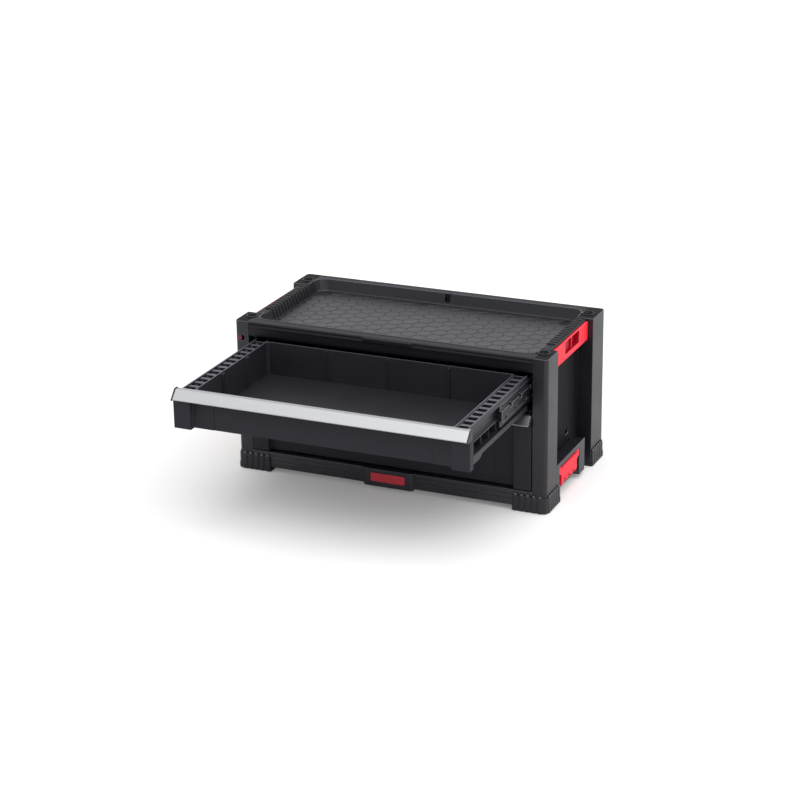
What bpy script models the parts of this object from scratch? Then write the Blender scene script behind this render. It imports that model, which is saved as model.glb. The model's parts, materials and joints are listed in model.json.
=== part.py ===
# A free-standing two-drawer tool chest in moulded resin, with its upper drawer pulled out.
# Metres, +Z up. X runs across the front, Y runs from the front to the back.
# The world origin is the bottom centre of the box around the chest and its open drawer.
import math

import bmesh
import bpy
from mathutils import Matrix, Vector

for old_object in list(bpy.data.objects):
    bpy.data.objects.remove(old_object, do_unlink=True)

# Cabinet, outside sizes and walls.
cabinet_width = 0.556
cabinet_depth = 0.282
post_width = 0.025
front_post_depth = 0.050
back_post_depth = 0.060
post_corner_radius = 0.007
side_recess = 0.027
web_thickness = 0.0025
beam_height = 0.027
bay_floor_height = 0.036
bay_relief_depth = 0.020

# Drawer fronts, stacked in the bay, and their travel.
upper_front_height = 0.0645
lower_front_height = 0.1285
gap_under_fronts = 0.002
gap_between_fronts = 0.0045
gap_over_fronts = 0.0025
front_side_gap = 0.0015
front_proud = 0.002
bin_tail = 0.003
gap_behind_bins = 0.0108
carriage_travel_share = 0.5

# Clearances. The seat gap parts two pieces that touch, the slide gap two that slide.
seat_gap = 0.0003
slide_gap = 0.0005
cut_overrun = 0.001

# The back panel between the back posts, which the drawers stop short of.
back_panel_thickness = 0.003
back_panel_recess = 0.0032

# Places that follow from the sizes above.
half_width = cabinet_width / 2
bay_half = half_width - post_width
web_outer = half_width - side_recess
web_inner = web_outer - web_thickness
lower_front_bottom = bay_floor_height + gap_under_fronts
upper_front_bottom = lower_front_bottom + lower_front_height + gap_between_fronts
bay_top = upper_front_bottom + upper_front_height + gap_over_fronts
cabinet_height = bay_top + beam_height
back_post_front = cabinet_depth - back_post_depth
back_panel_outer = cabinet_depth - back_panel_recess
back_panel_inner = back_panel_outer - back_panel_thickness
bin_back = back_panel_inner - gap_behind_bins
drawer_travel = bin_back - bin_tail
sides = {"left": -1, "right": 1}

# Feet, which wrap the corners and carry the posts.
foot_width = 0.0585
foot_depth = 0.060
foot_height = 0.028
foot_flare = 0.003
foot_bead_rise = 0.0008
foot_sole = 0.008
post_foot_height = foot_sole + seat_gap

# Finger-pull trim on each front. It leans forward over the front's face.
trim_wall = 0.0016
trim_height = 0.0155
trim_overhang = 0.007
trim_set_back = 0.006
trim_cap_thickness = 0.0025
trim_cap_margin = 0.0011

# The whole chest moves back so that the origin lies under the middle of its box.
box_front = -(front_proud + trim_overhang + trim_cap_margin + drawer_travel)
box_back = cabinet_depth + foot_flare + foot_bead_rise
cabinet_shift = -(box_front + box_back) / 2


def new_collection(name):
    collection = bpy.data.collections.new(name)
    bpy.context.scene.collection.children.link(collection)
    return collection


part_collection = new_collection("tool_chest")
cutter_collection = new_collection("tool_chest_cutters")
frames = {}


def add_frame(name, point, rest_offset=(0, 0, 0)):
    """An empty on a moving body's axis. Its pieces are drawn where they lie when closed."""
    empty = bpy.data.objects.new(name + "_frame", None)
    part_collection.objects.link(empty)
    if "cabinet" in frames:
        empty.parent = frames["cabinet"][0]
    empty.location = Vector(point) + Vector(rest_offset)
    frames[name] = (empty, Vector(point))


def finish(name, colour, roughness, metallic=0):
    material = bpy.data.materials.new(name)
    material.use_nodes = True
    shader = material.node_tree.nodes["Principled BSDF"]
    shader.inputs["Base Color"].default_value = (*colour, 1)
    shader.inputs["Roughness"].default_value = roughness
    shader.inputs["Metallic"].default_value = metallic
    material.diffuse_color = (*colour, 1)
    return material


resin_black = ((0.020, 0.020, 0.022), 0.55)
resin_grey = ((0.045, 0.046, 0.050), 0.6)
resin_red = ((0.62, 0.012, 0.02), 0.42)
bare_aluminium = ((0.80, 0.80, 0.81), 0.28, 1)
zinc_steel = ((0.55, 0.55, 0.56), 0.35, 1)


def middle_of(bm):
    low = Vector([min(vert.co[i] for vert in bm.verts) for i in range(3)])
    high = Vector([max(vert.co[i] for vert in bm.verts) for i in range(3)])
    return (low + high) / 2


def place_mesh(name, bm, origin, body, collection):
    """Makes an object from a mesh drawn in the cabinet's frame, with its origin at a point of it."""
    for vert in bm.verts:
        vert.co = [round(value, drawing_digits) for value in vert.co]
    bm.normal_update()
    bmesh.ops.recalc_face_normals(bm, faces=bm.faces)
    bm.transform(Matrix.Translation(-origin))
    mesh = bpy.data.meshes.new(name)
    bm.to_mesh(mesh)
    bm.free()
    mesh.shade_smooth()
    mesh.set_sharp_from_angle(angle=sharp_angle)
    piece = bpy.data.objects.new(name, mesh)
    collection.objects.link(piece)
    empty, point = frames[body]
    piece.parent = empty
    piece.location = origin - point
    return piece


drawing_digits = 6
sharp_angle = math.radians(35)
origins = {}


def add_piece(name, bm, body, look):
    origins[name] = middle_of(bm)
    piece = place_mesh(name, bm, origins[name], body, part_collection)
    piece.data.materials.append(finish(name, *look))
    return piece


def change(piece, operation, name, bm, body):
    """Cuts a tool mesh out of a piece, or joins it on, with a Boolean modifier."""
    tool = place_mesh(piece.name + "_" + name, bm, origins[piece.name], body, cutter_collection)
    tool.hide_render = True
    tool.display_type = "WIRE"
    modifier = piece.modifiers.new(name, "BOOLEAN")
    modifier.operation = operation
    modifier.solver = "EXACT"
    modifier.object = tool


def cut(piece, name, bm, body="cabinet"):
    change(piece, "DIFFERENCE", name, bm, body)


def join(piece, name, bm, body="cabinet"):
    change(piece, "UNION", name, bm, body)


def span(centre, length):
    return (centre - length / 2, centre + length / 2)


def sided(side, low, high):
    """A span of X on the right side, or its mirror image on the left."""
    return (low, high) if side > 0 else (-high, -low)


def add_box(bm, x, y, z):
    spans = (x, y, z)
    size = [high - low for low, high in spans]
    centre = [(high + low) / 2 for low, high in spans]
    matrix = Matrix.Translation(centre) @ Matrix.Diagonal((*size, 1))
    return bmesh.ops.create_cube(bm, size=1, matrix=matrix)["verts"]


def boxes(*box_spans):
    bm = bmesh.new()
    for x, y, z in box_spans:
        add_box(bm, x, y, z)
    return bm


# Turns that lay a flat outline's own X, Y and thickness along the cabinet's axes.
lay_along = {
    "X": Matrix(((0, 0, 1, 0), (1, 0, 0, 0), (0, 1, 0, 0), (0, 0, 0, 1))),
    "Y": Matrix(((1, 0, 0, 0), (0, 0, -1, 0), (0, 1, 0, 0), (0, 0, 0, 1))),
    "Z": Matrix.Identity(4),
}


def lies_flat(face):
    heights = [vert.co.z for vert in face.verts]
    return max(heights) - min(heights) < weld_distance


def extrusion(outline, axis, along):
    """A flat outline run along an axis: (y, z) points for X, (x, z) for Y, (x, y) for Z."""
    low, high = along
    curve = bpy.data.curves.new("outline", "CURVE")
    curve.dimensions = "2D"
    curve.fill_mode = "BOTH"
    curve.extrude = (high - low) / 2
    spline = curve.splines.new("POLY")
    spline.points.add(len(outline) - 1)
    for point, (u, v) in zip(spline.points, outline):
        point.co = (u, v, 0, 1)
    spline.use_cyclic_u = True
    drawn = bpy.data.objects.new("outline", curve)
    part_collection.objects.link(drawn)
    graph = bpy.context.evaluated_depsgraph_get()
    mesh = bpy.data.meshes.new_from_object(drawn.evaluated_get(graph))
    bpy.data.objects.remove(drawn, do_unlink=True)
    bm = bmesh.new()
    bm.from_mesh(mesh)
    bpy.data.meshes.remove(mesh)
    bmesh.ops.remove_doubles(bm, verts=bm.verts, dist=weld_distance)
    within_caps = [edge for edge in bm.edges if all(lies_flat(face) for face in edge.link_faces)]
    bmesh.ops.dissolve_edges(bm, edges=within_caps)
    bm.transform(lay_along[axis])
    middle = [0, 0, 0]
    middle["XYZ".index(axis)] = (high + low) / 2
    bm.transform(Matrix.Translation(middle))
    return bm


weld_distance = 0.00001
round_segments = 16


def add_cylinder(bm, centre, radius, axis, length, segments=round_segments):
    turn = {"X": Matrix.Rotation(math.pi / 2, 4, "Y"), "Y": Matrix.Rotation(math.pi / 2, 4, "X"),
            "Z": Matrix.Identity(4)}[axis]
    bmesh.ops.create_cone(bm, cap_ends=True, segments=segments, radius1=radius, radius2=radius,
                          depth=length, matrix=Matrix.Translation(centre) @ turn)


def cylinders(centres, radius, axis, length, segments=round_segments):
    bm = bmesh.new()
    for centre in centres:
        add_cylinder(bm, centre, radius, axis, length, segments)
    return bm


def round_edges(bm, radius, segments, axis, chosen=lambda middle: True):
    """Rounds the edges that run along an axis and whose middles are chosen."""
    index = "XYZ".index(axis)
    edges = []
    for edge in bm.edges:
        start, end = (vert.co for vert in edge.verts)
        run = (end - start).normalized()
        if abs(abs(run[index]) - 1) < parallel_tolerance and chosen((start + end) / 2):
            edges.append(edge)
    bmesh.ops.bevel(bm, geom=edges, offset=radius, segments=segments, profile=0.5,
                    affect="EDGES")
    return bm


parallel_tolerance = 0.001


def combine(*meshes):
    """Gathers separate meshes, such as a set of tools that don't meet, in one."""
    gathered = bmesh.new()
    for bm in meshes:
        mesh = bpy.data.meshes.new("gathered")
        bm.to_mesh(mesh)
        bm.free()
        gathered.from_mesh(mesh)
        bpy.data.meshes.remove(mesh)
    return gathered


def mirror_outline(right_half):
    """Closes a half outline with its mirror image across X = 0."""
    return right_half + [(-x, y) for x, y in reversed(right_half)]


# The cabinet's frame, and one for each moving body on its axis.
add_frame("cabinet", (0, cabinet_shift, 0))
frames["cabinet"] = (frames["cabinet"][0], Vector((0, 0, 0)))
open_offset = (0, -drawer_travel, 0)
carriage_offset = (0, -drawer_travel * carriage_travel_share, 0)
add_frame("upper_drawer", (0, 0, upper_front_bottom), open_offset)
add_frame("lower_drawer", (0, 0, lower_front_bottom))
add_frame("upper_carriages", (0, bay_relief_depth, upper_front_bottom), carriage_offset)
add_frame("lower_carriages", (0, bay_relief_depth, lower_front_bottom))

# Side mouldings: front and back post, the web between them and the corner blocks on top.
socket_radius = 0.005
socket_depth = 0.012
collar_radius = 0.009
collar_height = 0.0008
socket_inset = 0.0175
front_socket_y = 0.031
back_socket_y_inset = 0.035
back_ledge_width = 0.010
back_ledge_thickness = 0.004
web_slot_width = 0.013
web_slot_height = 0.008
web_slot_set_back = 0.0495
web_slot_z = 0.0785
corner_segments = 4

back_ledge_back = back_panel_inner - seat_gap
socket_x = half_width - socket_inset
back_socket_y = cabinet_depth - back_socket_y_inset
web_slot_y = back_post_front - web_slot_set_back


def side_outline(side):
    ledge = web_inner - back_ledge_width
    ledge_front = back_ledge_back - back_ledge_thickness
    points = [(bay_half, 0), (half_width, 0), (half_width, front_post_depth),
              (web_outer, front_post_depth), (web_outer, back_post_front),
              (half_width, back_post_front), (half_width, cabinet_depth),
              (web_inner, cabinet_depth), (web_inner, back_ledge_back),
              (ledge, back_ledge_back), (ledge, ledge_front), (web_inner, ledge_front),
              (web_inner, bay_relief_depth), (bay_half, bay_relief_depth)]
    return [(side * x, y) for x, y in points]


def side_panel(side_name):
    side = sides[side_name]
    bm = extrusion(side_outline(side), "Z", (post_foot_height, cabinet_height))
    near_edge = post_corner_radius / 2

    def outer_corner(middle):
        at_face = abs(middle.x) > half_width - near_edge
        return at_face and (middle.y < near_edge or middle.y > cabinet_depth - near_edge)

    round_edges(bm, post_corner_radius, corner_segments, "Z", outer_corner)
    panel = add_piece(side_name + "_side_panel", bm, "cabinet", resin_black)
    reach = sided(side, web_inner - back_ledge_width - cut_overrun, half_width + cut_overrun)
    between_posts = (front_post_depth, back_post_front)
    behind = (back_post_front - cut_overrun, cabinet_depth + cut_overrun)
    ledge_reach = sided(side, web_inner - back_ledge_width - cut_overrun, web_inner)
    over_bay = (bay_top - seat_gap, cabinet_height + cut_overrun)
    under_bay = (post_foot_height - cut_overrun, bay_floor_height + seat_gap)
    cut(panel, "web_ends", boxes((reach, between_posts, over_bay), (reach, between_posts, under_bay)))
    cut(panel, "ledge_ends", boxes((ledge_reach, behind, over_bay), (ledge_reach, behind, under_bay)))
    tops = [(side * socket_x, y, cabinet_height) for y in (front_socket_y, back_socket_y)]
    join(panel, "collars", cylinders(tops, collar_radius, "Z", 2 * collar_height))
    cut(panel, "sockets", cylinders(tops, socket_radius, "Z", 2 * socket_depth))
    web_reach = sided(side, web_inner - cut_overrun, web_outer + cut_overrun)
    cut(panel, "web_slot", boxes((web_reach, span(web_slot_y, web_slot_width),
                                  span(web_slot_z, web_slot_height))))
    return panel


side_panels = {name: side_panel(name) for name in sides}

# Screws that hold the back panel to the ledges of the side mouldings.
screw_shank_radius = 0.0018
screw_hole_radius = 0.0021
screw_head_radius = 0.0036
screw_head_height = 0.0018
back_screw_rows = 2
back_screw_margin = 0.040
back_flutes = 6
back_flute_width = 0.012
back_flute_depth = 0.0012
back_flute_margin = 0.018
small_segments = 10

bay_height = bay_top - bay_floor_height
back_screw_x = web_inner - back_ledge_width / 2
back_screw_pitch = (bay_height - 2 * back_screw_margin) / (back_screw_rows - 1)
back_screw_points = [(side * back_screw_x, bay_floor_height + back_screw_margin + row * back_screw_pitch)
                     for side in sides.values() for row in range(back_screw_rows)]

panel_half = web_inner - seat_gap
back_panel = add_piece("back_panel", boxes(((-panel_half, panel_half), (back_panel_inner, back_panel_outer),
                                            (bay_floor_height + seat_gap, bay_top - seat_gap))),
                       "cabinet", resin_black)
flute_pitch = 2 * web_inner / (back_flutes + 1)
flute_meshes = []
for flute in range(back_flutes):
    flute_x = -web_inner + (flute + 1) * flute_pitch
    flute_meshes.append((span(flute_x, back_flute_width),
                         (back_panel_outer - back_flute_depth, back_panel_outer + cut_overrun),
                         (bay_floor_height + back_flute_margin, bay_top - back_flute_margin)))
cut(back_panel, "flutes", round_edges(boxes(*flute_meshes), back_flute_width / 4, 2, "Y"))
back_hole_points = [(x, back_panel_inner, z) for x, z in back_screw_points]
back_hole_length = 2 * (back_panel_thickness + back_ledge_thickness)
cut(back_panel, "screw_holes", cylinders(back_hole_points, screw_hole_radius, "Y", back_hole_length,
                                         small_segments))
for side_name, side in sides.items():
    own_points = [point for point in back_hole_points if point[0] * side > 0]
    cut(side_panels[side_name], "screw_holes",
        cylinders(own_points, screw_hole_radius, "Y", back_hole_length, small_segments))

# Base moulding: floor, front beam, the side beams that hold the latches, open underneath.
base_wall = 0.003
base_floor_thickness = 0.003
base_rib_thickness = 0.0025
base_pocket_columns = 4
base_pocket_rows = 2
side_notch_length = 0.034
side_beam_bottom = 0.014
side_beam_top = 0.0665
side_beam_inner_top = 0.0605
beam_groove_shares = (0.42, 0.72)
beam_groove_width = 0.0016
beam_groove_depth = 0.0012
plate_half_width = 0.0455
plate_bottom = 0.006
plate_rise = 0.001
plate_proud = 0.0055
plate_slope = 0.004
insert_width = 0.062
insert_height = 0.015
insert_centre_height = 0.0225
insert_pocket_depth = 0.0016
insert_proud = 0.0006
insert_corner_radius = 0.002

# Latches: a plate on a pin low on each side, and the pocket that it lies in.
latch_margin = 0.0135
latch_end_margin = 0.027
latch_neck_inset = 0.0105
latch_top = 0.0565
latch_shoulder = 0.046
latch_thickness = 0.004
latch_pivot_height = 0.0245
latch_pivot_inset = 0.0045
latch_knuckle_radius = 0.0035
latch_pocket_depth = 0.011
latch_gap = 0.0006
latch_knuckles = 4
latch_lug_width = 0.006
pin_radius = 0.0015
pin_hole_radius = 0.00175
pin_end_cover = 0.004
lug_arc_steps = 6

side_beam_end_y = back_post_front - side_notch_length
plate_top = bay_floor_height + plate_rise
latch_start_y = front_post_depth + latch_margin
latch_end_y = side_beam_end_y - latch_end_margin
latch_length = latch_end_y - latch_start_y
pivot_x = half_width - latch_pivot_inset
latch_outer_x = pivot_x + latch_thickness
neck_start_y = latch_start_y + latch_neck_inset
neck_end_y = latch_end_y - latch_neck_inset
neck_length = neck_end_y - neck_start_y
knuckle_pitch = (neck_length + latch_lug_width) / latch_knuckles
pin_span = (latch_start_y - pin_end_cover, latch_end_y + pin_end_cover)
latch_pocket_x = half_width - latch_pocket_depth


def lug_spans():
    """The gaps between the latch's knuckles, where the base's lugs stand."""
    first = neck_start_y + knuckle_pitch - latch_lug_width
    return [(first + i * knuckle_pitch, first + i * knuckle_pitch + latch_lug_width)
            for i in range(latch_knuckles - 1)]


def posts_clear_outline(middle_half, middle_end_y):
    """Half of the plan of a moulding that fills the space between the four posts."""
    post_side = web_inner - seat_gap
    front_side = bay_half - seat_gap
    back_end = back_post_front - seat_gap
    points = [(front_side, 0), (front_side, bay_relief_depth - seat_gap),
              (post_side, bay_relief_depth - seat_gap), (post_side, front_post_depth + seat_gap),
              (middle_half, front_post_depth + seat_gap), (middle_half, middle_end_y)]
    if middle_end_y < back_end:
        points += [(web_outer, middle_end_y), (web_outer, back_end)]
    return points + [(post_side, back_end), (post_side, cabinet_depth)]


base_bottom = foot_sole + seat_gap
base_mesh = extrusion(mirror_outline(posts_clear_outline(half_width, side_beam_end_y)), "Z",
                      (base_bottom, bay_floor_height))
base = add_piece("base", base_mesh, "cabinet", resin_black)
beam_foot = web_outer + seat_gap
beam_section = [(beam_foot, side_beam_bottom), (half_width, side_beam_bottom),
                (half_width, side_beam_top), (beam_foot, side_beam_inner_top)]
for side_name, side in sides.items():
    section = [(side * x, z) for x, z in beam_section]
    join(base, side_name + "_side_beam",
         extrusion(section, "Y", (front_post_depth + seat_gap, side_beam_end_y)))
latch_pockets = [(sided(side, latch_pocket_x, half_width + cut_overrun),
                  (latch_start_y - latch_gap, latch_end_y + latch_gap),
                  (base_bottom - cut_overrun, latch_top + latch_gap)) for side in sides.values()]
cut(base, "latch_pockets", boxes(*latch_pockets))
lug_outline = [(latch_pocket_x - cut_overrun, latch_pivot_height - latch_knuckle_radius)]
for step in range(lug_arc_steps + 1):
    angle = math.radians(-90) + step * math.radians(180) / lug_arc_steps
    lug_outline.append((pivot_x + latch_knuckle_radius * math.cos(angle),
                        latch_pivot_height + latch_knuckle_radius * math.sin(angle)))
lug_outline.append((latch_pocket_x - cut_overrun, latch_pivot_height + latch_knuckle_radius))
for side_name, side in sides.items():
    lugs = [extrusion([(side * x, z) for x, z in lug_outline], "Y", lug_span) for lug_span in lug_spans()]
    join(base, side_name + "_latch_lugs", combine(*lugs))
pin_middle = (pin_span[0] + pin_span[1]) / 2
pin_holes = [(side * pivot_x, pin_middle, latch_pivot_height) for side in sides.values()]
pin_hole_length = pin_span[1] - pin_span[0] + 2 * seat_gap
cut(base, "pin_holes", cylinders(pin_holes, pin_hole_radius, "Y", pin_hole_length, small_segments))

# The base's underside, open between its ribs.
under_half = web_inner - base_wall
under_front = base_wall
under_back = cabinet_depth - base_wall
column_pitch = (2 * under_half + base_rib_thickness) / base_pocket_columns
row_pitch = (under_back - under_front + base_rib_thickness) / base_pocket_rows
pocket_boxes = []
for column in range(base_pocket_columns):
    column_x = -under_half + column * column_pitch
    for row in range(base_pocket_rows):
        row_y = under_front + row * row_pitch
        pocket_boxes.append(((column_x, column_x + column_pitch - base_rib_thickness),
                             (row_y, row_y + row_pitch - base_rib_thickness),
                             (base_bottom - cut_overrun, bay_floor_height - base_floor_thickness)))
cut(base, "underside", boxes(*pocket_boxes))
groove_boxes = [((-bay_half, bay_half), (-cut_overrun, beam_groove_depth),
                 span(base_bottom + share * (bay_floor_height - base_bottom), beam_groove_width))
                for share in beam_groove_shares]
cut(base, "face_grooves", boxes(*groove_boxes))

plate_section = [(plate_half_width, cut_overrun), (plate_half_width, -cut_overrun),
                 (plate_half_width - plate_slope, -plate_proud)]
plate_mesh = extrusion(mirror_outline(plate_section), "Z", (plate_bottom, plate_top))
join(base, "centre_plate", plate_mesh)


def insert_block(margin, front, back):
    bm = boxes((span(0, insert_width + 2 * margin), (front, back),
                span(insert_centre_height, insert_height + 2 * margin)))
    return round_edges(bm, insert_corner_radius, 3, "Y")


insert_floor = -plate_proud + insert_pocket_depth
cut(base, "insert_pocket", insert_block(seat_gap, -plate_proud - cut_overrun, insert_floor))
add_piece("plate_insert", insert_block(0, -plate_proud - insert_proud, insert_floor - seat_gap),
          "cabinet", resin_red)


# Latch plates, drawn upright in their pockets, and the pins they turn on.
hook_height = 0.0015
hook_rise = 0.0025
hook_inset = 0.012
latch_edge_radius = 0.002


def latch(side_name):
    side = sides[side_name]
    body = side_name + "_latch"
    add_frame(body, (side * pivot_x, pin_middle, latch_pivot_height))
    neck_slope = latch_neck_inset / 2
    outline = [(neck_start_y, latch_pivot_height), (neck_end_y, latch_pivot_height),
               (neck_end_y, latch_shoulder - neck_slope), (latch_end_y, latch_shoulder),
               (latch_end_y, latch_top), (latch_start_y, latch_top),
               (latch_start_y, latch_shoulder), (neck_start_y, latch_shoulder - neck_slope)]
    plate = extrusion(outline, "X", sided(side, pivot_x, latch_outer_x))
    round_edges(plate, latch_edge_radius, 2, "X",
                lambda middle: middle.z > (latch_top + latch_shoulder) / 2)
    piece = add_piece(body, plate, body, resin_red)
    barrel = cylinders([(side * pivot_x, pin_middle, latch_pivot_height)], latch_knuckle_radius, "Y",
                       neck_length - 2 * seat_gap)
    join(piece, "barrel", barrel, body)
    hook_root = latch_outer_x - cut_overrun
    hook_tip = latch_outer_x + hook_rise
    hook_outline = [(hook_root, latch_top - 2 * hook_height - hook_rise), (hook_root, latch_top),
                    (hook_tip, latch_top), (hook_tip, latch_top - hook_height)]
    hook = extrusion([(side * x, z) for x, z in hook_outline], "Y",
                     (latch_start_y + hook_inset, latch_end_y - hook_inset))
    join(piece, "hook", hook, body)
    room = latch_knuckle_radius + cut_overrun
    gap_boxes = [(sided(side, pivot_x - room, latch_outer_x + cut_overrun),
                  (low - latch_gap, high + latch_gap),
                  (latch_pivot_height - room, latch_pivot_height + room)) for low, high in lug_spans()]
    cut(piece, "lug_gaps", boxes(*gap_boxes), body)
    bore = cylinders([(side * pivot_x, pin_middle, latch_pivot_height)], pin_hole_radius, "Y",
                     latch_length + 2 * cut_overrun, small_segments)
    cut(piece, "bore", bore, body)
    pin_length = pin_span[1] - pin_span[0]
    add_piece(side_name + "_latch_pin",
              cylinders([(side * pivot_x, pin_middle, latch_pivot_height)], pin_radius, "Y",
                        pin_length, small_segments), "cabinet", zinc_steel)


for side_name in sides:
    latch(side_name)

# Catches high on the sides, which take the latches of a chest stacked on top. The tray's side
# rims lie over them as a thin skin.
catch_start_margin = 0.0034
catch_end_margin = 0.0015
catch_face_inset = 0.009
catch_flange = 0.003
catch_depth = 0.0113
catch_body_inset = 0.002
catch_top_drop = 0.0021
catch_bottom_drop = 0.009
catch_corner_radius = 0.003
catch_pocket_start = 0.0555
catch_pocket_length = 0.068
catch_pocket_wall = 0.0015
catch_pocket_height = 0.0217
catch_pocket_depth = 0.0065
catch_deep_pocket_depth = 0.009
catch_deep_pocket_share = 0.45
catch_pocket_rib = 0.0016
catch_groove_shares = (0.86, 0.93)
catch_groove_width = 0.0025
catch_groove_depth = 0.0012

catch_span = (front_post_depth + catch_start_margin, back_post_front - catch_end_margin)
catch_length = catch_span[1] - catch_span[0]
catch_outer = half_width - catch_face_inset
catch_inner = catch_outer - catch_depth
catch_body_span = (catch_span[0] + catch_body_inset, catch_span[1] - catch_body_inset)
catch_bottom = bay_top - catch_bottom_drop

# Top tray: front and back beams, side rims and the basin with its ribbed side slopes.
rim_inset = 0.0123
rim_drop = 0.002
rim_skin = 0.002
basin_depth = 0.0195
tray_floor_thickness = 0.0025
basin_slope_run = 0.005
front_rim_width = 0.020
front_slope_run = 0.007
back_rim_width = 0.020
back_slope_run = 0.006
basin_corner_radius = 0.020
basin_foot_radius = 0.003
front_edge_radius = 0.0025
beam_lower_radius = 0.007
rim_groove_drop = 0.0037
rim_groove_width = 0.0013
rim_groove_depth = 0.0012
rim_nose_height = 0.0052
rim_nose_proud = 0.0014
rim_nose_edge = 0.0016
back_groove_inset = 0.0065
lip_half_width = 0.044
lip_height = 0.007
lip_drop = 0.001
lip_proud = 0.003
lip_bevel = 0.0018
notch_width = 0.010
notch_drop = 0.0155
notch_reach = 0.006
notch_corner_radius = 0.0035
slope_rib_pitch = 0.0108
slope_rib_start = 0.0335
rim_hole_radius = 0.0016
rim_hole_collar = 0.0032
rim_hole_y = 0.0785
rim_hole_inset = 0.0101
slope_rib_width = 0.0072
slope_rib_rise = 0.0018
slope_rib_margin = 0.008
rim_channel_wall = 0.003
rim_channel_drop = 0.009

rim_half = half_width - rim_inset
rim_top = cabinet_height - rim_drop
tray_floor = cabinet_height - basin_depth
basin_half = web_inner
basin_floor_half = basin_half - basin_slope_run
basin_front = front_rim_width
basin_back = cabinet_depth - back_rim_width
basin_floor_front = basin_front + front_slope_run
basin_floor_back = basin_back - back_slope_run
rim_ends = (front_post_depth + seat_gap, back_post_front - seat_gap)


def basin_tool():
    """The basin as a rounded box whose floor is drawn in from its mouth."""
    bm = boxes(((-basin_half, basin_half), (basin_front, basin_back),
                (tray_floor, cabinet_height + cut_overrun)))
    for vert in bm.verts:
        if vert.co.z < cabinet_height:
            vert.co.x = math.copysign(basin_floor_half, vert.co.x)
            vert.co.y = basin_floor_front if vert.co.y < cabinet_depth / 2 else basin_floor_back
    upright = [edge for edge in bm.edges
               if abs(edge.verts[0].co.z - edge.verts[1].co.z) > basin_depth / 2]
    bmesh.ops.bevel(bm, geom=upright, offset=basin_corner_radius, segments=corner_segments,
                    profile=0.5, affect="EDGES")
    foot = [edge for edge in bm.edges if max(vert.co.z for vert in edge.verts) < rim_top]
    bmesh.ops.bevel(bm, geom=foot, offset=basin_foot_radius, segments=2, profile=0.5,
                    affect="EDGES")
    return bm


tray_mesh = extrusion(mirror_outline(posts_clear_outline(rim_half, rim_ends[1])), "Z",
                      (bay_top, cabinet_height))
round_edges(tray_mesh, beam_lower_radius, 3, "X",
            lambda middle: middle.y < front_edge_radius and middle.z < rim_top)
round_edges(tray_mesh, front_edge_radius, 2, "X",
            lambda middle: middle.y < front_edge_radius and middle.z > rim_top)
top_tray = add_piece("top_tray", tray_mesh, "cabinet", resin_grey)
cut(top_tray, "side_rims", boxes(*[(sided(side, basin_floor_half, rim_half + cut_overrun), rim_ends,
                                    (rim_top, cabinet_height + cut_overrun))
                                   for side in sides.values()]))
cut(top_tray, "basin", basin_tool())
slope_top_x = basin_floor_half + basin_slope_run * (rim_top - tray_floor) / basin_depth
rib_start_x = rim_half - rim_channel_wall
rib_section = [(rib_start_x, rim_top - cut_overrun),
               (rib_start_x - slope_rib_rise, rim_top + slope_rib_rise),
               (slope_top_x, rim_top + slope_rib_rise),
               (slope_top_x - slope_rib_rise, rim_top - slope_rib_rise / 2),
               (basin_floor_half - slope_rib_rise, tray_floor + slope_rib_rise / 2),
               (basin_floor_half - slope_rib_rise, tray_floor - cut_overrun),
               (basin_floor_half + cut_overrun, tray_floor - cut_overrun),
               (slope_top_x + cut_overrun, rim_top - 2 * slope_rib_rise)]
rib_span = (rim_ends[0] + slope_rib_start, rim_ends[1] - slope_rib_margin)
rib_steps = int((rib_span[1] - rib_span[0]) / slope_rib_pitch)
rib_pitch = (rib_span[1] - rib_span[0]) / rib_steps
for side_name, side in sides.items():
    rib_meshes = []
    for rib in range(rib_steps + 1):
        section = [(side * x, z) for x, z in rib_section]
        rib_meshes.append(extrusion(section, "Y", span(rib_span[0] + rib * rib_pitch, slope_rib_width)))
    join(top_tray, side_name + "_slope_ribs", combine(*rib_meshes))
under_tray = [((-basin_floor_half, basin_floor_half), (basin_floor_front, basin_floor_back),
               (bay_top - cut_overrun, tray_floor - tray_floor_thickness))]
channel_top = cabinet_height - rim_channel_drop
channel_half = web_inner - seat_gap - rim_channel_wall
for side in sides.values():
    under_tray.append((sided(side, notch_width / 2 + rim_channel_wall, channel_half),
                       (basin_back + rim_channel_wall, cabinet_depth - rim_channel_wall),
                       (bay_top - cut_overrun, channel_top)))
    under_tray.append((sided(side, basin_half + rim_channel_wall, catch_inner - rim_channel_wall),
                       (rim_ends[0] + rim_channel_wall, rim_ends[1] - rim_channel_wall),
                       (bay_top - cut_overrun, rim_top - rim_channel_wall)))
cut(top_tray, "underside", boxes(*under_tray))
cut(top_tray, "room_for_catches", boxes(*[(sided(side, catch_inner - seat_gap, rim_half + cut_overrun),
                                           (catch_body_span[0] - seat_gap, catch_body_span[1] + seat_gap),
                                           (bay_top - cut_overrun, rim_top - rim_skin))
                                          for side in sides.values()]))
groove_height = cabinet_height - rim_groove_drop
nose_top = groove_height - rim_groove_width / 2
nose_bottom = nose_top - rim_nose_height
nose_outline = [(cut_overrun, nose_bottom), (-rim_nose_proud, nose_bottom),
                (-rim_nose_proud, nose_top - 2 * rim_nose_edge),
                (-rim_nose_proud / 2, nose_top - rim_nose_edge / 2), (cut_overrun, nose_top)]
join(top_tray, "rim_nose", extrusion(nose_outline, "X", (-bay_half, bay_half)))
cut(top_tray, "rim_groove", boxes(((-bay_half, bay_half), (-cut_overrun, rim_groove_depth),
                                   span(groove_height, rim_groove_width))))
cut(top_tray, "back_groove", boxes(((-bay_half, bay_half),
                                    span(cabinet_depth - back_groove_inset, rim_groove_width),
                                    (cabinet_height - rim_groove_depth / 2, cabinet_height + cut_overrun))))
rim_hole_x = rim_half - rim_hole_inset
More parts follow.
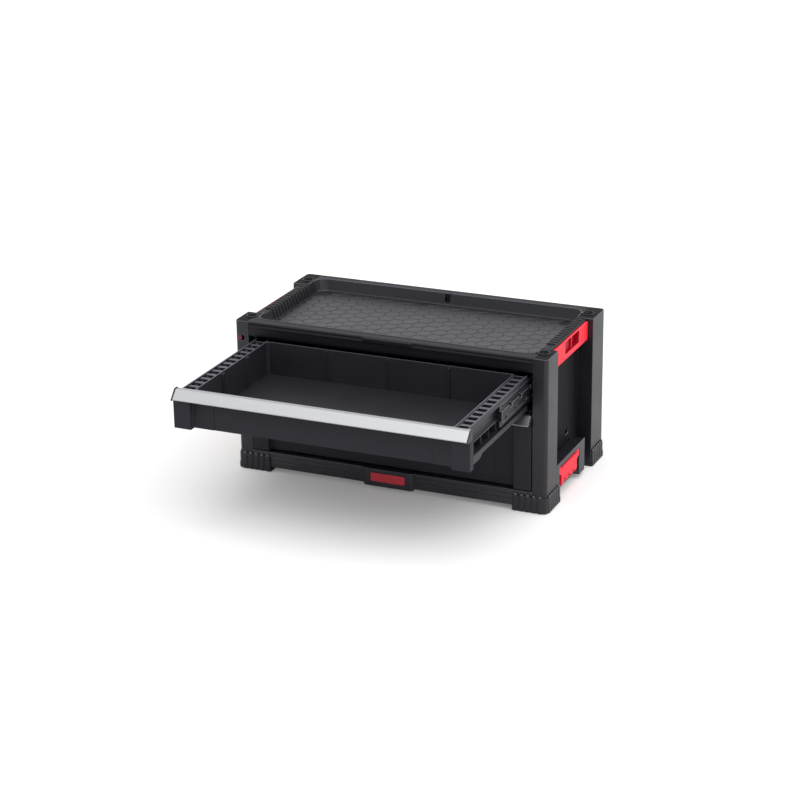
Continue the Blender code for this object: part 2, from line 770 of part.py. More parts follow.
rim_hole_points = [(side * rim_hole_x, rim_hole_y, rim_top) for side in sides.values()]
join(top_tray, "rim_hole_collars", cylinders(rim_hole_points, rim_hole_collar, "Z", 2 * collar_height,
                                             small_segments))
cut(top_tray, "rim_holes", cylinders(rim_hole_points, rim_hole_radius, "Z", rim_skin, small_segments))
lip_top = cabinet_height - lip_drop
lip_mesh = boxes(((-lip_half_width, lip_half_width), (-lip_proud, front_edge_radius),
                  (lip_top - lip_height, lip_top)))
round_edges(lip_mesh, lip_bevel, 2, "Y")
join(top_tray, "front_lip", lip_mesh)
notch_mesh = boxes(((-notch_width / 2, notch_width / 2),
                    (basin_floor_back - cut_overrun, basin_back + notch_reach),
                    (cabinet_height - notch_drop, cabinet_height + cut_overrun)))
round_edges(notch_mesh, notch_corner_radius, 3, "Y", lambda middle: middle.z < cabinet_height)
cut(top_tray, "rim_notch", notch_mesh)

catch_top = rim_top - catch_top_drop
catch_body_top = rim_top - rim_skin - seat_gap


def catch(side_name):
    side = sides[side_name]
    flange = boxes((sided(side, rim_half + seat_gap, catch_outer), catch_span, (catch_bottom, catch_top)))
    round_edges(flange, catch_corner_radius, 3, "X", lambda middle: middle.y > catch_body_span[1])
    piece = add_piece(side_name + "_catch", flange, "cabinet", resin_red)
    join(piece, "body", boxes((sided(side, catch_inner, catch_outer - catch_flange / 2), catch_body_span,
                               (catch_bottom + catch_corner_radius, catch_body_top))))
    outside = catch_outer + cut_overrun
    pocket_y = catch_span[0] + catch_pocket_start
    pocket_end = pocket_y + catch_pocket_length
    pocket_top = catch_body_top - catch_pocket_wall
    pocket_rise = (pocket_top - catch_pocket_height, pocket_top)
    cut(piece, "pocket", boxes((sided(side, catch_outer - catch_pocket_depth, outside),
                                (pocket_y, pocket_end), pocket_rise)))
    deep_start = pocket_end - catch_pocket_length * catch_deep_pocket_share
    cut(piece, "deep_pocket", boxes((sided(side, catch_outer - catch_deep_pocket_depth, outside),
                                     (deep_start + catch_pocket_rib, pocket_end), pocket_rise)))
    join(piece, "pocket_rib", boxes((sided(side, catch_outer - catch_pocket_depth - cut_overrun,
                                           catch_outer - catch_flange),
                                     (deep_start, deep_start + catch_pocket_rib),
                                     (pocket_rise[0] - cut_overrun, pocket_rise[1] + cut_overrun))))
    grooves = [(sided(side, catch_outer - catch_groove_depth, outside),
                span(catch_span[0] + share * catch_length, catch_groove_width),
                (catch_bottom - cut_overrun, catch_top + cut_overrun)) for share in catch_groove_shares]
    cut(piece, "grooves", boxes(*grooves))


for side_name in sides:
    catch(side_name)

# Corner feet: a sole under each post, and scalloped skirts around the outside.
foot_front_ribs = 5
foot_side_ribs = 6
foot_rib_rise = 0.0014
foot_rib_land_share = 0.62
foot_bead_height = 0.0095
foot_edge = 0.0016
foot_screw_head_radius = 0.0042
foot_screw_radius = 0.002
foot_screw_recess = 0.0035
foot_screw_head_height = 0.002
foot_screw_bite = 0.014


def rib_line(start, end, outward, ribs, rise):
    """Points along one outer face of a foot, with a raised rib in each pitch."""
    points = []
    for rib in range(ribs):
        pitch_start = start.lerp(end, rib / ribs)
        pitch_end = start.lerp(end, (rib + 1) / ribs)
        margin = (1 - foot_rib_land_share) / 4
        lift = outward * rise
        points += [pitch_start.lerp(pitch_end, margin), pitch_start.lerp(pitch_end, 2 * margin) + lift,
                   pitch_start.lerp(pitch_end, 1 - 2 * margin) + lift,
                   pitch_start.lerp(pitch_end, 1 - margin)]
    return points


def foot_ring(height, grow):
    """The plan of a foot at one height, in the first quarter, as a loop of points."""
    face = foot_flare - foot_rib_rise + grow
    corner = Vector((half_width + face, -face))
    front_start = Vector((half_width - foot_width, -face))
    side_end = Vector((half_width + face, foot_depth))
    turn = Vector((-post_corner_radius, post_corner_radius))
    arc_centre = corner + turn
    points = rib_line(front_start, Vector((arc_centre.x, corner.y)), Vector((0, -1)),
                      foot_front_ribs, foot_rib_rise)
    for step in range(corner_segments + 1):
        angle = math.radians(-90) + step * math.radians(90) / corner_segments
        arm = Vector((math.cos(angle), math.sin(angle))) * post_corner_radius
        points.append(arc_centre + arm)
    points += rib_line(Vector((corner.x, arc_centre.y)), side_end, Vector((1, 0)), foot_side_ribs,
                       foot_rib_rise)
    points += [side_end, Vector((half_width - foot_width, foot_depth)), front_start]
    return [Vector((point.x, point.y, height)) for point in points]


def loft(rings):
    """Skins like loops of points from the lowest to the highest, and closes both ends."""
    bm = bmesh.new()
    loops = [[bm.verts.new(point) for point in ring] for ring in rings]
    for lower, upper in zip(loops, loops[1:]):
        for i, vert in enumerate(lower):
            j = (i + 1) % len(lower)
            bm.faces.new((vert, lower[j], upper[j], upper[i]))
    bm.faces.new(list(reversed(loops[0])))
    bm.faces.new(loops[-1])
    return bm


def foot(side_name, end_name):
    side = sides[side_name]
    at_back = end_name == "back"
    rings = [foot_ring(0, -foot_edge), foot_ring(foot_edge, foot_bead_rise),
             foot_ring(foot_bead_height, foot_bead_rise),
             foot_ring(foot_bead_height + foot_edge, 0), foot_ring(foot_height, 0)]
    flip = Matrix.Diagonal((side, -1 if at_back else 1, 1, 1))
    if at_back:
        flip = Matrix.Translation((0, cabinet_depth, 0)) @ flip
    bm = loft(rings)
    bm.transform(flip)
    piece = add_piece(end_name + "_" + side_name + "_foot", bm, "cabinet", resin_black)
    room = boxes(((half_width - foot_width - cut_overrun, half_width + seat_gap),
                  (-seat_gap, foot_depth + cut_overrun), (foot_sole, foot_height + cut_overrun)))
    round_edges(room, post_corner_radius, corner_segments, "Z",
                lambda middle: middle.x > half_width and middle.y < foot_depth / 2)
    room.transform(flip)
    cut(piece, "room_for_post", room)
    screw_y = cabinet_depth - back_socket_y_inset if at_back else front_socket_y
    head_room = cylinders([(side * socket_x, screw_y, 0)], foot_screw_head_radius + seat_gap, "Z",
                          2 * foot_screw_recess + 2 * foot_screw_head_height, round_segments)
    cut(piece, "screw_head_room", head_room)
    shank_room = cylinders([(side * socket_x, screw_y, foot_sole / 2)], foot_screw_radius + seat_gap,
                           "Z", foot_sole + 2 * cut_overrun, small_segments)
    cut(piece, "screw_hole", shank_room)
    hole_end = post_foot_height + foot_screw_bite + seat_gap
    bite = cylinders([(side * socket_x, screw_y, hole_end / 2)], foot_screw_radius + seat_gap, "Z",
                     hole_end, small_segments)
    cut(side_panels[side_name], end_name + "_foot_screw_hole", bite)
    shank_length = post_foot_height + foot_screw_bite - foot_screw_seat
    seat = (side * socket_x, screw_y, foot_screw_seat - seat_gap)
    fastener = screw(seat, "Z", foot_screw_radius, shank_length, foot_screw_head_radius,
                     foot_screw_head_height)
    add_piece(end_name + "_" + side_name + "_foot_screw", fastener, "cabinet", zinc_steel)


def turned(profile, centre, axis, segments=small_segments):
    """A solid of revolution: (radius, height) points from its tip to its head, spun about an axis."""
    bm = bmesh.new()
    verts = [bm.verts.new((radius, 0, height)) for radius, height in profile]
    edges = [bm.edges.new(pair) for pair in zip(verts, verts[1:])]
    bmesh.ops.spin(bm, geom=verts + edges, cent=(0, 0, 0), axis=(0, 0, 1), dvec=(0, 0, 0),
                   angle=math.tau, steps=segments, use_merge=True)
    bmesh.ops.remove_doubles(bm, verts=bm.verts, dist=weld_distance)
    turn = {"Z": Matrix.Identity(4), "Y": Matrix.Rotation(-math.pi / 2, 4, "X"),
            "-Y": Matrix.Rotation(math.pi / 2, 4, "X")}[axis]
    bm.transform(Matrix.Translation(centre) @ turn)
    return bm


def screw(centre, axis, shank_radius, shank_length, head_radius, head_height):
    """A pan-head screw whose head starts at the centre and whose shank runs along the axis."""
    profile = [(0, shank_length), (shank_radius, shank_length), (shank_radius, 0), (head_radius, 0),
               (head_radius, -head_height / 2), (head_radius * dome_share, -head_height),
               (0, -head_height)]
    return turned(profile, centre, axis)


dome_share = 0.7
foot_screw_seat = foot_screw_recess + foot_screw_head_height
for side_name in sides:
    for end_name in ("front", "back"):
        foot(side_name, end_name)
for number, (x, z) in enumerate(back_screw_points, 1):
    fastener = screw((x, back_panel_outer + seat_gap, z), "-Y", screw_shank_radius,
                     back_panel_thickness + back_ledge_thickness, screw_head_radius,
                     screw_head_height)
    add_piece("back_panel_screw_" + str(number), fastener, "cabinet", zinc_steel)

# Slides: a rail on each web, an intermediate carriage, and the drawer's own guides.
slide_drop = 0.0285
carriage_height = 0.036
carriage_thickness = 0.009
carriage_plate = 0.0035
channel_height = 0.0225
rail_depth = 0.0044
rail_web = 0.0016
rail_lip = 0.0022
rail_half_height = 0.0115
rail_start_y = 0.0215
window_length = 0.009
window_height = 0.0065
window_rows = 2
window_columns = 6
window_row_pitch = 0.0135
carriage_nose = 0.018
carriage_groove_depth = 0.0015
carriage_groove_height = 0.003

# Drawer bins.
bin_wall = 0.0025
bin_floor_wall = 0.0025
rim_width = 0.0245
bin_top_drop = 0.0015
bin_bottom_rise = 0.0045
panel_setback = 0.012
front_plate_thickness = 0.003
block_width = 0.030
block_top_gap = 0.0012
centre_field_inset = 0.035
centre_field_depth = 0.0008
front_edge_bevel = 0.001
strip_width = 0.003
slot_count = 13
slot_length = 0.0118
slot_floor_wall = 0.002
ladder_recess = 0.002
well_wall = 0.0015
well_floor_wall = 0.002
side_pocket_count = 8
side_pocket_rise = 0.008
bin_corner_radius = 0.006
guide_rib_thickness = 0.003
runner_drop = 0.0006
runner_width = 0.0025
gusset_length = 0.041
gusset_curve_length = 0.0135
gusset_curve_steps = 3
gusset_dip = 0.0015
pocket_rib_thickness = 0.002
pocket_rib_set_back = 0.005
divider_rib_thickness = 0.0018
divider_rib_rise = 0.003
divider_pair_gap = 0.003
back_wall_ribs = 3
front_screw_columns = 3

front_plate_drop = trim_wall + trim_cap_margin + seat_gap
rail_back_x = web_inner - seat_gap
rail_front_x = rail_back_x - rail_depth
bin_outer = rail_front_x - slide_gap
carriage_outer = bin_outer - slide_gap
carriage_inner = carriage_outer - carriage_thickness
bin_inner = bin_outer - rim_width
bin_wall_outer = bin_inner + bin_wall
front_face = -front_proud
panel_face = front_face + panel_setback
panel_back = panel_face + front_plate_thickness
front_half = bay_half - front_side_gap
bin_front = panel_back + seat_gap
carriage_start = bin_front + cut_overrun
carriage_end = drawer_travel
carriage_length = carriage_end - carriage_start


def slide_height(front_bottom, front_height):
    return front_bottom + front_height - slide_drop


def rail(side_name, level, front_bottom, front_height):
    side = sides[side_name]
    middle = slide_height(front_bottom, front_height)
    lip = middle + rail_half_height
    section = [(rail_back_x, middle - rail_half_height), (rail_back_x, lip), (rail_front_x, lip),
               (rail_front_x, lip - rail_lip), (rail_back_x - rail_web, lip - rail_lip),
               (rail_back_x - rail_web, middle - rail_half_height + rail_lip),
               (rail_front_x, middle - rail_half_height + rail_lip),
               (rail_front_x, middle - rail_half_height)]
    bm = extrusion([(side * x, z) for x, z in section], "Y", (rail_start_y, carriage_end))
    add_piece(level + "_" + side_name + "_rail", bm, "cabinet", resin_black)


def carriage(side_name, level, front_bottom, front_height):
    """A plate with windows that carries a thick runner inwards and a tongue outwards."""
    side = sides[side_name]
    body = level + "_carriages"
    middle = slide_height(front_bottom, front_height)
    top = middle + carriage_height / 2
    runner_bottom = top - channel_height + slide_gap
    tongue_half = rail_half_height - rail_lip - seat_gap
    tongue_outer = rail_back_x - rail_web - slide_gap
    plate_inner = carriage_outer - carriage_plate
    section = [(plate_inner, middle - carriage_height / 2), (carriage_outer, middle - carriage_height / 2),
               (carriage_outer, middle - tongue_half), (tongue_outer, middle - tongue_half),
               (tongue_outer, middle + tongue_half), (carriage_outer, middle + tongue_half),
               (carriage_outer, top), (carriage_inner, top), (carriage_inner, runner_bottom),
               (plate_inner, runner_bottom)]
    bm = extrusion([(side * x, z) for x, z in section], "Y", (carriage_start, carriage_end))
    piece = add_piece(level + "_" + side_name + "_carriage", bm, body, resin_black)
    through = sided(side, carriage_inner - cut_overrun, tongue_outer + cut_overrun)
    pitch = (carriage_length - 2 * carriage_nose) / (window_columns - 1)
    windows = []
    for row in range(window_rows):
        height = middle + (row - (window_rows - 1) / 2) * window_row_pitch
        for column in range(window_columns - row):
            place = carriage_start + carriage_nose + (column + row / 2) * pitch
            windows.append((through, span(place, window_length), span(height, window_height)))
    cut(piece, "windows", boxes(*windows), body)
    groove_reach = sided(side, carriage_outer - carriage_groove_depth, tongue_outer + cut_overrun)
    lines = [(groove_reach, (carriage_start + carriage_nose / 2, carriage_end + cut_overrun),
              span(middle + offset * (tongue_half + carriage_groove_height), carriage_groove_height))
             for offset in (-1, 1)]
    cut(piece, "face_grooves", boxes(*lines), body)


def side_boxes(x, y, z):
    """A box on the right side of a drawer and its mirror image on the left."""
    return [(sided(side, *x), y, z) for side in sides.values()]


def bin_piece(level, front_bottom, front_height):
    """The drawer's bin: floor, walls, ladder rims, slide channels and the pockets under them."""
    body = level + "_drawer"
    bottom = front_bottom + bin_bottom_rise
    top = front_bottom + front_height - bin_top_drop
    middle = slide_height(front_bottom, front_height)
    plate_bottom_z = middle - carriage_height / 2 - slide_gap
    channel_top = middle + carriage_height / 2 + slide_gap
    channel_bottom = channel_top - channel_height - slide_gap
    bm = boxes(((-bin_outer, bin_outer), (bin_front, bin_back), (bottom, top)))
    piece = add_piece(level + "_drawer_bin", bm, body, resin_black)
    cavity = boxes(((-bin_inner, bin_inner), (bin_front + bin_wall, drawer_travel),
                    (bottom + bin_floor_wall, top + cut_overrun)))
    round_edges(cavity, bin_corner_radius, 3, "Z")
    cut(piece, "inside", cavity, body)
    outside = bin_outer + cut_overrun
    above = top + cut_overrun
    lengthwise = (bin_front - cut_overrun, bin_back + cut_overrun)
    channel_inner = carriage_inner - slide_gap
    plate_room = carriage_outer - carriage_plate - 2 * slide_gap
    cut(piece, "slide_channels", boxes(*side_boxes((channel_inner, outside), lengthwise,
                                                   (channel_bottom, channel_top))), body)
    cut(piece, "plate_rooms", boxes(*side_boxes((plate_room, outside), lengthwise,
                                                (plate_bottom_z, channel_top - cut_overrun))), body)
    pocket_rise = (bottom + side_pocket_rise, channel_bottom - guide_rib_thickness)
    pocket_face = bin_outer - pocket_rib_set_back
    cut(piece, "pocket_faces", boxes(*side_boxes((pocket_face, outside), lengthwise, pocket_rise)), body)
    pocket_pitch = (bin_back - bin_front) / side_pocket_count
    pockets = []
    for pocket in range(side_pocket_count):
        pocket_span = span(bin_front + (pocket + 0.5) * pocket_pitch, pocket_pitch - pocket_rib_thickness)
        pockets += side_boxes((bin_wall_outer, pocket_face), pocket_span, pocket_rise)
    cut(piece, "pockets", boxes(*pockets), body)
    under_rise = (bottom - cut_overrun, bottom + side_pocket_rise - bin_floor_wall)
    under_span = (bin_front + bin_wall, bin_back - bin_wall)
    cut(piece, "under_rims", boxes(*side_boxes((bin_wall_outer, bin_outer - runner_width), under_span,
                                               under_rise)), body)
    cut(piece, "rim_tops", boxes(*side_boxes((bin_wall_outer, bin_outer - strip_width), lengthwise,
                                             (top - ladder_recess, above))), body)
    slot_pitch = (bin_back - bin_front) / slot_count
    slots = []
    wells = []
    for slot in range(slot_count):
        slot_span = span(bin_front + (slot + 0.5) * slot_pitch, slot_length)
        slots += side_boxes((bin_wall_outer + strip_width / 2, bin_outer - strip_width), slot_span,
                            (channel_top + slot_floor_wall, above))
        wells += side_boxes((bin_wall_outer + strip_width / 2, channel_inner - well_wall), slot_span,
                            (pocket_rise[1] + well_floor_wall, above))
    cut(piece, "ladder_slots", boxes(*slots), body)
    cut(piece, "ladder_wells", boxes(*wells), body)
    dip = front_bottom - gusset_dip
    runner_top = bottom + cut_overrun
    runner_bottom = bottom - runner_drop
    curve_start = bin_front + gusset_length
    runner_outline = [(bin_back, runner_bottom), (bin_back, runner_top), (bin_front, runner_top),
                      (bin_front, dip)]
    for step in range(gusset_curve_steps + 1):
        angle = step * math.radians(90) / gusset_curve_steps
        runner_outline.append((curve_start + gusset_curve_length * math.sin(angle),
                               runner_bottom - (runner_bottom - dip) * math.cos(angle)))
    for side_name, side in sides.items():
        runner = extrusion(runner_outline, "X", sided(side, bin_outer - runner_width, bin_outer))
        join(piece, side_name + "_runner", runner, body)
    rib_rise = (bottom + bin_floor_wall - cut_overrun, top - divider_rib_rise)
    inner_depth = drawer_travel - bin_front - bin_wall
    ribs = []
    for share in divider_place_shares:
        for offset in (-1, 1):
            centre = (bin_front + bin_wall + share * inner_depth
                      + offset * (divider_pair_gap + divider_rib_thickness) / 2)
            ribs += side_boxes((bin_inner - divider_rib_rise, bin_inner + cut_overrun),
                               span(centre, divider_rib_thickness), rib_rise)
    for rib in range(back_wall_ribs):
        rib_x = ((rib + 1) / (back_wall_ribs + 1) - 0.5) * 2 * bin_inner
        ribs.append((span(rib_x, divider_rib_thickness),
                     (drawer_travel - divider_rib_rise, drawer_travel + cut_overrun), rib_rise))
    join(piece, "divider_ribs", boxes(*ribs), body)
    return piece


divider_place_shares = (0.36, 0.70)


def trim_profile(front_top, grow=0):
    """Corners of the trim's outer face in (y, z), from its back edge over the lip to its foot."""
    top = front_top - front_edge_bevel / 2 + grow
    lean_top = front_face + trim_set_back
    lean_foot = front_face - trim_overhang - grow
    foot = front_top - trim_height - grow
    return [(panel_back - front_edge_bevel, top), (lean_top, top), (lean_foot, foot + trim_wall),
            (lean_foot + trim_wall / 2, foot)]


def trim(level, front_bottom, front_height):
    """The finger-pull trim: a bent strip, thickened inwards from its outer face."""
    body = level + "_drawer"
    bm = bmesh.new()
    half = front_half - trim_cap_thickness - seat_gap
    rows = [[bm.verts.new((x, y, z)) for y, z in trim_profile(front_bottom + front_height)]
            for x in (-half, half)]
    for i in range(len(rows[0]) - 1):
        bm.faces.new((rows[0][i], rows[0][i + 1], rows[1][i + 1], rows[1][i]))
    piece = add_piece(level + "_drawer_trim", bm, body, bare_aluminium)
    wall = piece.modifiers.new("wall", "SOLIDIFY")
    wall.thickness = trim_wall
    wall.offset = trim_wall_side
    wall.use_even_offset = True


trim_wall_side = -1


def trim_cap(side_name, level, front_bottom, front_height):
    side = sides[side_name]
    body = level + "_drawer"
    outer = trim_profile(front_bottom + front_height, trim_cap_margin)
    top = outer[0][1]
    block_top = front_bottom + front_height - trim_height - block_top_gap
    inner_y = panel_face - seat_gap
    inner_top = top - trim_wall - 2 * seat_gap
    outline = outer + [(inner_y, block_top + seat_gap), (inner_y, inner_top), (outer[0][0], inner_top)]
    bm = extrusion(outline, "X", sided(side, front_half - trim_cap_thickness, front_half))
    add_piece(level + "_" + side_name + "_trim_cap", bm, body, resin_black)


def front(level, front_bottom, front_height):
    """The moulded front: a set-back plate, which carries the trim, and two end blocks."""
    body = level + "_drawer"
    front_top = front_bottom + front_height
    block_top = front_top - trim_height - block_top_gap
    plate_top = front_top - front_plate_drop
    bm = boxes(((-front_half, front_half), (panel_face, panel_back), (front_bottom, plate_top)))
    piece = add_piece(level + "_drawer_front", bm, body, resin_black)
    blocks = boxes(*side_boxes((front_half - block_width, front_half), (front_face, panel_back),
                               (front_bottom, block_top)))
    round_edges(blocks, front_edge_bevel, 1, "X",
                lambda middle: middle.y < front_face + front_edge_bevel)
    join(piece, "end_blocks", blocks, body)
    field_half = front_half - block_width - centre_field_inset
    field = boxes(((-field_half, field_half), (panel_face - cut_overrun, panel_face + centre_field_depth),
                   (front_bottom - cut_overrun, block_top)))
    cut(piece, "centre_field", field, body)
    return piece


def drawer(level, front_bottom, front_height):
    front_piece = front(level, front_bottom, front_height)
    body = level + "_drawer"
    bin_object = bin_piece(level, front_bottom, front_height)
    trim(level, front_bottom, front_height)
    for side_name in sides:
        trim_cap(side_name, level, front_bottom, front_height)
        rail(side_name, level, front_bottom, front_height)
        carriage(side_name, level, front_bottom, front_height)
    middle = front_bottom + front_height / 2
    pitch = 2 * bin_inner / front_screw_columns
    points = [(-bin_inner + (column + 0.5) * pitch, bin_front + bin_wall, middle)
              for column in range(front_screw_columns)]
    bite = bin_wall + seat_gap + front_plate_thickness / 2
    for number, (x, y, z) in enumerate(points, 1):
        fastener = screw((x, y + seat_gap, z), "-Y", screw_shank_radius, bite, screw_head_radius,
                         screw_head_height)
        add_piece(level + "_drawer_screw_" + str(number), fastener, body, zinc_steel)
    hole_length = 2 * (bite + seat_gap)
    for piece in (bin_object, front_piece):
        cut(piece, "screw_holes", cylinders(points, screw_hole_radius, "Y", hole_length,
                                            small_segments), body)


drawer("upper", upper_front_bottom, upper_front_height)
drawer("lower", lower_front_bottom, lower_front_height)

# Lock slider in the left front post. Its hidden tongue enters the upper front's end block.
slider_slot_inset = 0.0035
slider_slot_length = 0.014
slider_slot_height = 0.009
slider_drop = 0.0295
slider_pad_width = 0.0075
slider_face_wall = 0.0025
slider_body_depth = 0.006
slider_body_height = 0.044
slider_travel = 0.0055
slider_pad_recess = 0.0008
slider_tongue_height = 0.006
slider_tongue_length = 0.0115
slider_hole_extra = 0.001

slot_left = -half_width + slider_slot_inset
slot_middle_z = cabinet_height - slider_drop
pad_left = slot_left + slide_gap
pad_right = pad_left + slider_pad_width
pad_half_height = slider_slot_height / 2 - slide_gap
body_front = slider_face_wall + slide_gap
body_back = body_front + slider_body_depth
body_top = slot_middle_z + slider_slot_height / 2 + slider_hole_extra
body_bottom = body_top - slider_body_height
tongue_bottom = body_bottom
tongue_end = pad_right + slider_tongue_length

add_frame("lock", (pad_left, body_front, slot_middle_z))
slider_mesh = boxes(((pad_left, pad_right), (body_front, body_back), (body_bottom, body_top)))
slider = add_piece("lock_slider", slider_mesh, "lock", resin_red)
pad = boxes(((pad_left, pad_right), (slider_pad_recess, body_front + cut_overrun),
             span(slot_middle_z, 2 * pad_half_height)))
join(slider, "pad", round_edges(pad, pad_half_height / 3, 2, "Y"), "lock")
tongue = boxes(((pad_right - cut_overrun, tongue_end), (body_front, body_back),
                (tongue_bottom, tongue_bottom + slider_tongue_height)))
join(slider, "tongue", tongue, "lock")
lock_post = side_panels["left"]
slot_mesh = boxes(((slot_left, slot_left + slider_slot_length),
                   (-cut_overrun, slider_face_wall + cut_overrun),
                   span(slot_middle_z, slider_slot_height)))
cut(lock_post, "lock_slot", round_edges(slot_mesh, slider_slot_height / 3, 2, "Y"))
chamber_right = pad_right + slider_travel + slide_gap
chamber = boxes(((slot_left - slide_gap, chamber_right), (slider_face_wall, body_back + slide_gap),
                 (body_bottom - slide_gap, body_top + slide_gap)))
cut(lock_post, "lock_chamber", chamber)
tongue_hole = ((body_front - slide_gap, body_back + slide_gap),
               (tongue_bottom - slide_gap, tongue_bottom + slider_tongue_height + slide_gap))
cut(lock_post, "tongue_hole", boxes(((chamber_right - cut_overrun, -bay_half + cut_overrun), *tongue_hole)))
front_notch = boxes(((-front_half - cut_overrun, tongue_end + slider_travel + slide_gap), *tongue_hole))
cut(bpy.data.objects["upper_drawer_front"], "lock_notch", front_notch, "upper_drawer")
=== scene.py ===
import json
import math

import bmesh
import bpy
from mathutils import Matrix, Vector

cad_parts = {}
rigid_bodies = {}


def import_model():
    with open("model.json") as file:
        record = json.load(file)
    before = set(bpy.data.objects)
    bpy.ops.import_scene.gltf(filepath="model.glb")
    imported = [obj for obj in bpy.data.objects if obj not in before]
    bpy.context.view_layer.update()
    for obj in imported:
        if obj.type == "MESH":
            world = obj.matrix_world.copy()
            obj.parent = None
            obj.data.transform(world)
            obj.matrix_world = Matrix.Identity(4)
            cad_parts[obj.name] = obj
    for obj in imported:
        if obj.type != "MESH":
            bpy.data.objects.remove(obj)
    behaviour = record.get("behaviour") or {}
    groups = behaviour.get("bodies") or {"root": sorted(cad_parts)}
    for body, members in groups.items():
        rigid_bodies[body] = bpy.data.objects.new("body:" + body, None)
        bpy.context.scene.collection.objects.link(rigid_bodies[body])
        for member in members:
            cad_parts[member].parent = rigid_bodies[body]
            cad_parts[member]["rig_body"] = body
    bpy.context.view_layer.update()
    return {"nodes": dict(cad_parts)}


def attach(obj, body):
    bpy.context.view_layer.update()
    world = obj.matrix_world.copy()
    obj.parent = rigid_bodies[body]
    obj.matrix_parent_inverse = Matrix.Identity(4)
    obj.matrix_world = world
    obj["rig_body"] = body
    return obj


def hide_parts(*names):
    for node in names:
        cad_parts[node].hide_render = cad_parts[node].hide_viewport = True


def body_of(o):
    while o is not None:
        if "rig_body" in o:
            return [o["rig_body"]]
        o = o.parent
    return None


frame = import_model()

# Camera: a long lens a little to the right of the open drawer, which looks down on the chest.
# Its place is worked out from the chest's own corners in the photograph. Only the film's width
# is in millimetres.
picture_pixels = 800
film_width = 36
lens_pixels = 2199.0
camera_turn = math.radians(23.849)
camera_drop = math.radians(20.541)
camera_roll = math.radians(-0.815)
camera_distance = 3.5987
camera_target = Vector((0.0223, -0.00685, 0.1636))

back_axis = Vector((math.sin(camera_turn) * math.cos(camera_drop),
                    -math.cos(camera_turn) * math.cos(camera_drop), math.sin(camera_drop)))
level_axis = Vector((math.cos(camera_turn), math.sin(camera_turn), 0))
roll = Matrix.Rotation(camera_roll, 3, back_axis)
right_axis = roll @ level_axis
up_axis = roll @ back_axis.cross(level_axis)
camera_data = bpy.data.cameras.new("camera")
camera_data.sensor_width = film_width
camera_data.lens = lens_pixels * film_width / picture_pixels
camera = bpy.data.objects.new("camera", camera_data)
turned = Matrix((right_axis, up_axis, back_axis)).transposed().to_4x4()
camera.matrix_world = Matrix.Translation(camera_target + back_axis * camera_distance) @ turned
bpy.context.scene.collection.objects.link(camera)
bpy.context.scene.camera = camera
bpy.context.scene.view_settings.view_transform = "Standard"


# Studio: a plain white floor that runs out of sight, an even pale sky and two broad soft lamps.
# The main lamp hangs nearly over the chest, so its shadow stays close under the open drawer,
# and the other one lights the right side. Seen directly or mirrored, the sky is plain white.
def linear(colour_hex):
    """An sRGB colour such as #c0c0c0 as the linear values that a shader takes."""
    values = [int(colour_hex[i:i + 2], 16) / 255 for i in (1, 3, 5)]
    bent = [v / 12.92 if v <= 0.04045 else ((v + 0.055) / 1.055) ** 2.4 for v in values]
    return (*bent, 1)


def add_node(tree, kind, settings=None, links=None):
    """Adds a node. Settings name its properties or sockets, and links say what feeds a socket."""
    node = tree.nodes.new("ShaderNode" + kind)
    for name, value in (settings or {}).items():
        if isinstance(name, str) and hasattr(node, name):
            setattr(node, name, value)
        else:
            node.inputs[name].default_value = value
    for name, source in (links or {}).items():
        tree.links.new(source, node.inputs[name])
    return node


def made_object(name, mesh, *materials):
    """Turns a finished bmesh into an object of the scene, with its materials."""
    data = bpy.data.meshes.new(name)
    mesh.to_mesh(data)
    mesh.free()
    for material in materials:
        data.materials.append(material)
    new_object = bpy.data.objects.new(name, data)
    bpy.context.scene.collection.objects.link(new_object)
    return new_object


white_strength = 1.0
sky_strength = 0.60
lamp_strength = 1.55
lamp_spread = math.radians(60)
lamp_direction = Vector((0.20, -0.42, 1.0))
fill_strength = 1.3
fill_spread = math.radians(80)
fill_direction = Vector((1.0, 0.25, 0.35))

world = bpy.data.worlds.new("studio")
world.use_nodes = True
sky = world.node_tree
background = sky.nodes["Background"]
background.inputs["Color"].default_value = linear("#ffffff")
rays = add_node(sky, "LightPath")
in_mirror = add_node(sky, "Math", {"operation": "MAXIMUM"},
                     {0: rays.outputs["Is Glossy Ray"], 1: rays.outputs["Is Transmission Ray"]})
seen = add_node(sky, "Math", {"operation": "MAXIMUM"},
                {0: rays.outputs["Is Camera Ray"], 1: in_mirror.outputs[0]})
strength = add_node(sky, "MapRange", {"To Min": sky_strength, "To Max": white_strength},
                    {"Value": seen.outputs[0]})
sky.links.new(strength.outputs[0], background.inputs["Strength"])
bpy.context.scene.world = world

floor_width = 24
floor_roughness = 0.9
floor_glow = 0.14
floor_paint = bpy.data.materials.new("studio_floor")
floor_paint.use_nodes = True
floor_tree = floor_paint.node_tree
floor_shader = floor_tree.nodes["Principled BSDF"]
floor_shader.inputs["Base Color"].default_value = linear("#f6f6f6")
floor_shader.inputs["Roughness"].default_value = floor_roughness
floor_shader.inputs["Specular IOR Level"].default_value = 0
floor_shader.inputs["Emission Color"].default_value = linear("#ffffff")
floor_rays = add_node(floor_tree, "LightPath")
glow = add_node(floor_tree, "Math", {"operation": "MULTIPLY", 1: floor_glow},
                {0: floor_rays.outputs["Is Camera Ray"]})
floor_tree.links.new(glow.outputs[0], floor_shader.inputs["Emission Strength"])
floor_mesh = bmesh.new()
bmesh.ops.create_grid(floor_mesh, x_segments=1, y_segments=1, size=floor_width / 2)
made_object("floor", floor_mesh, floor_paint)

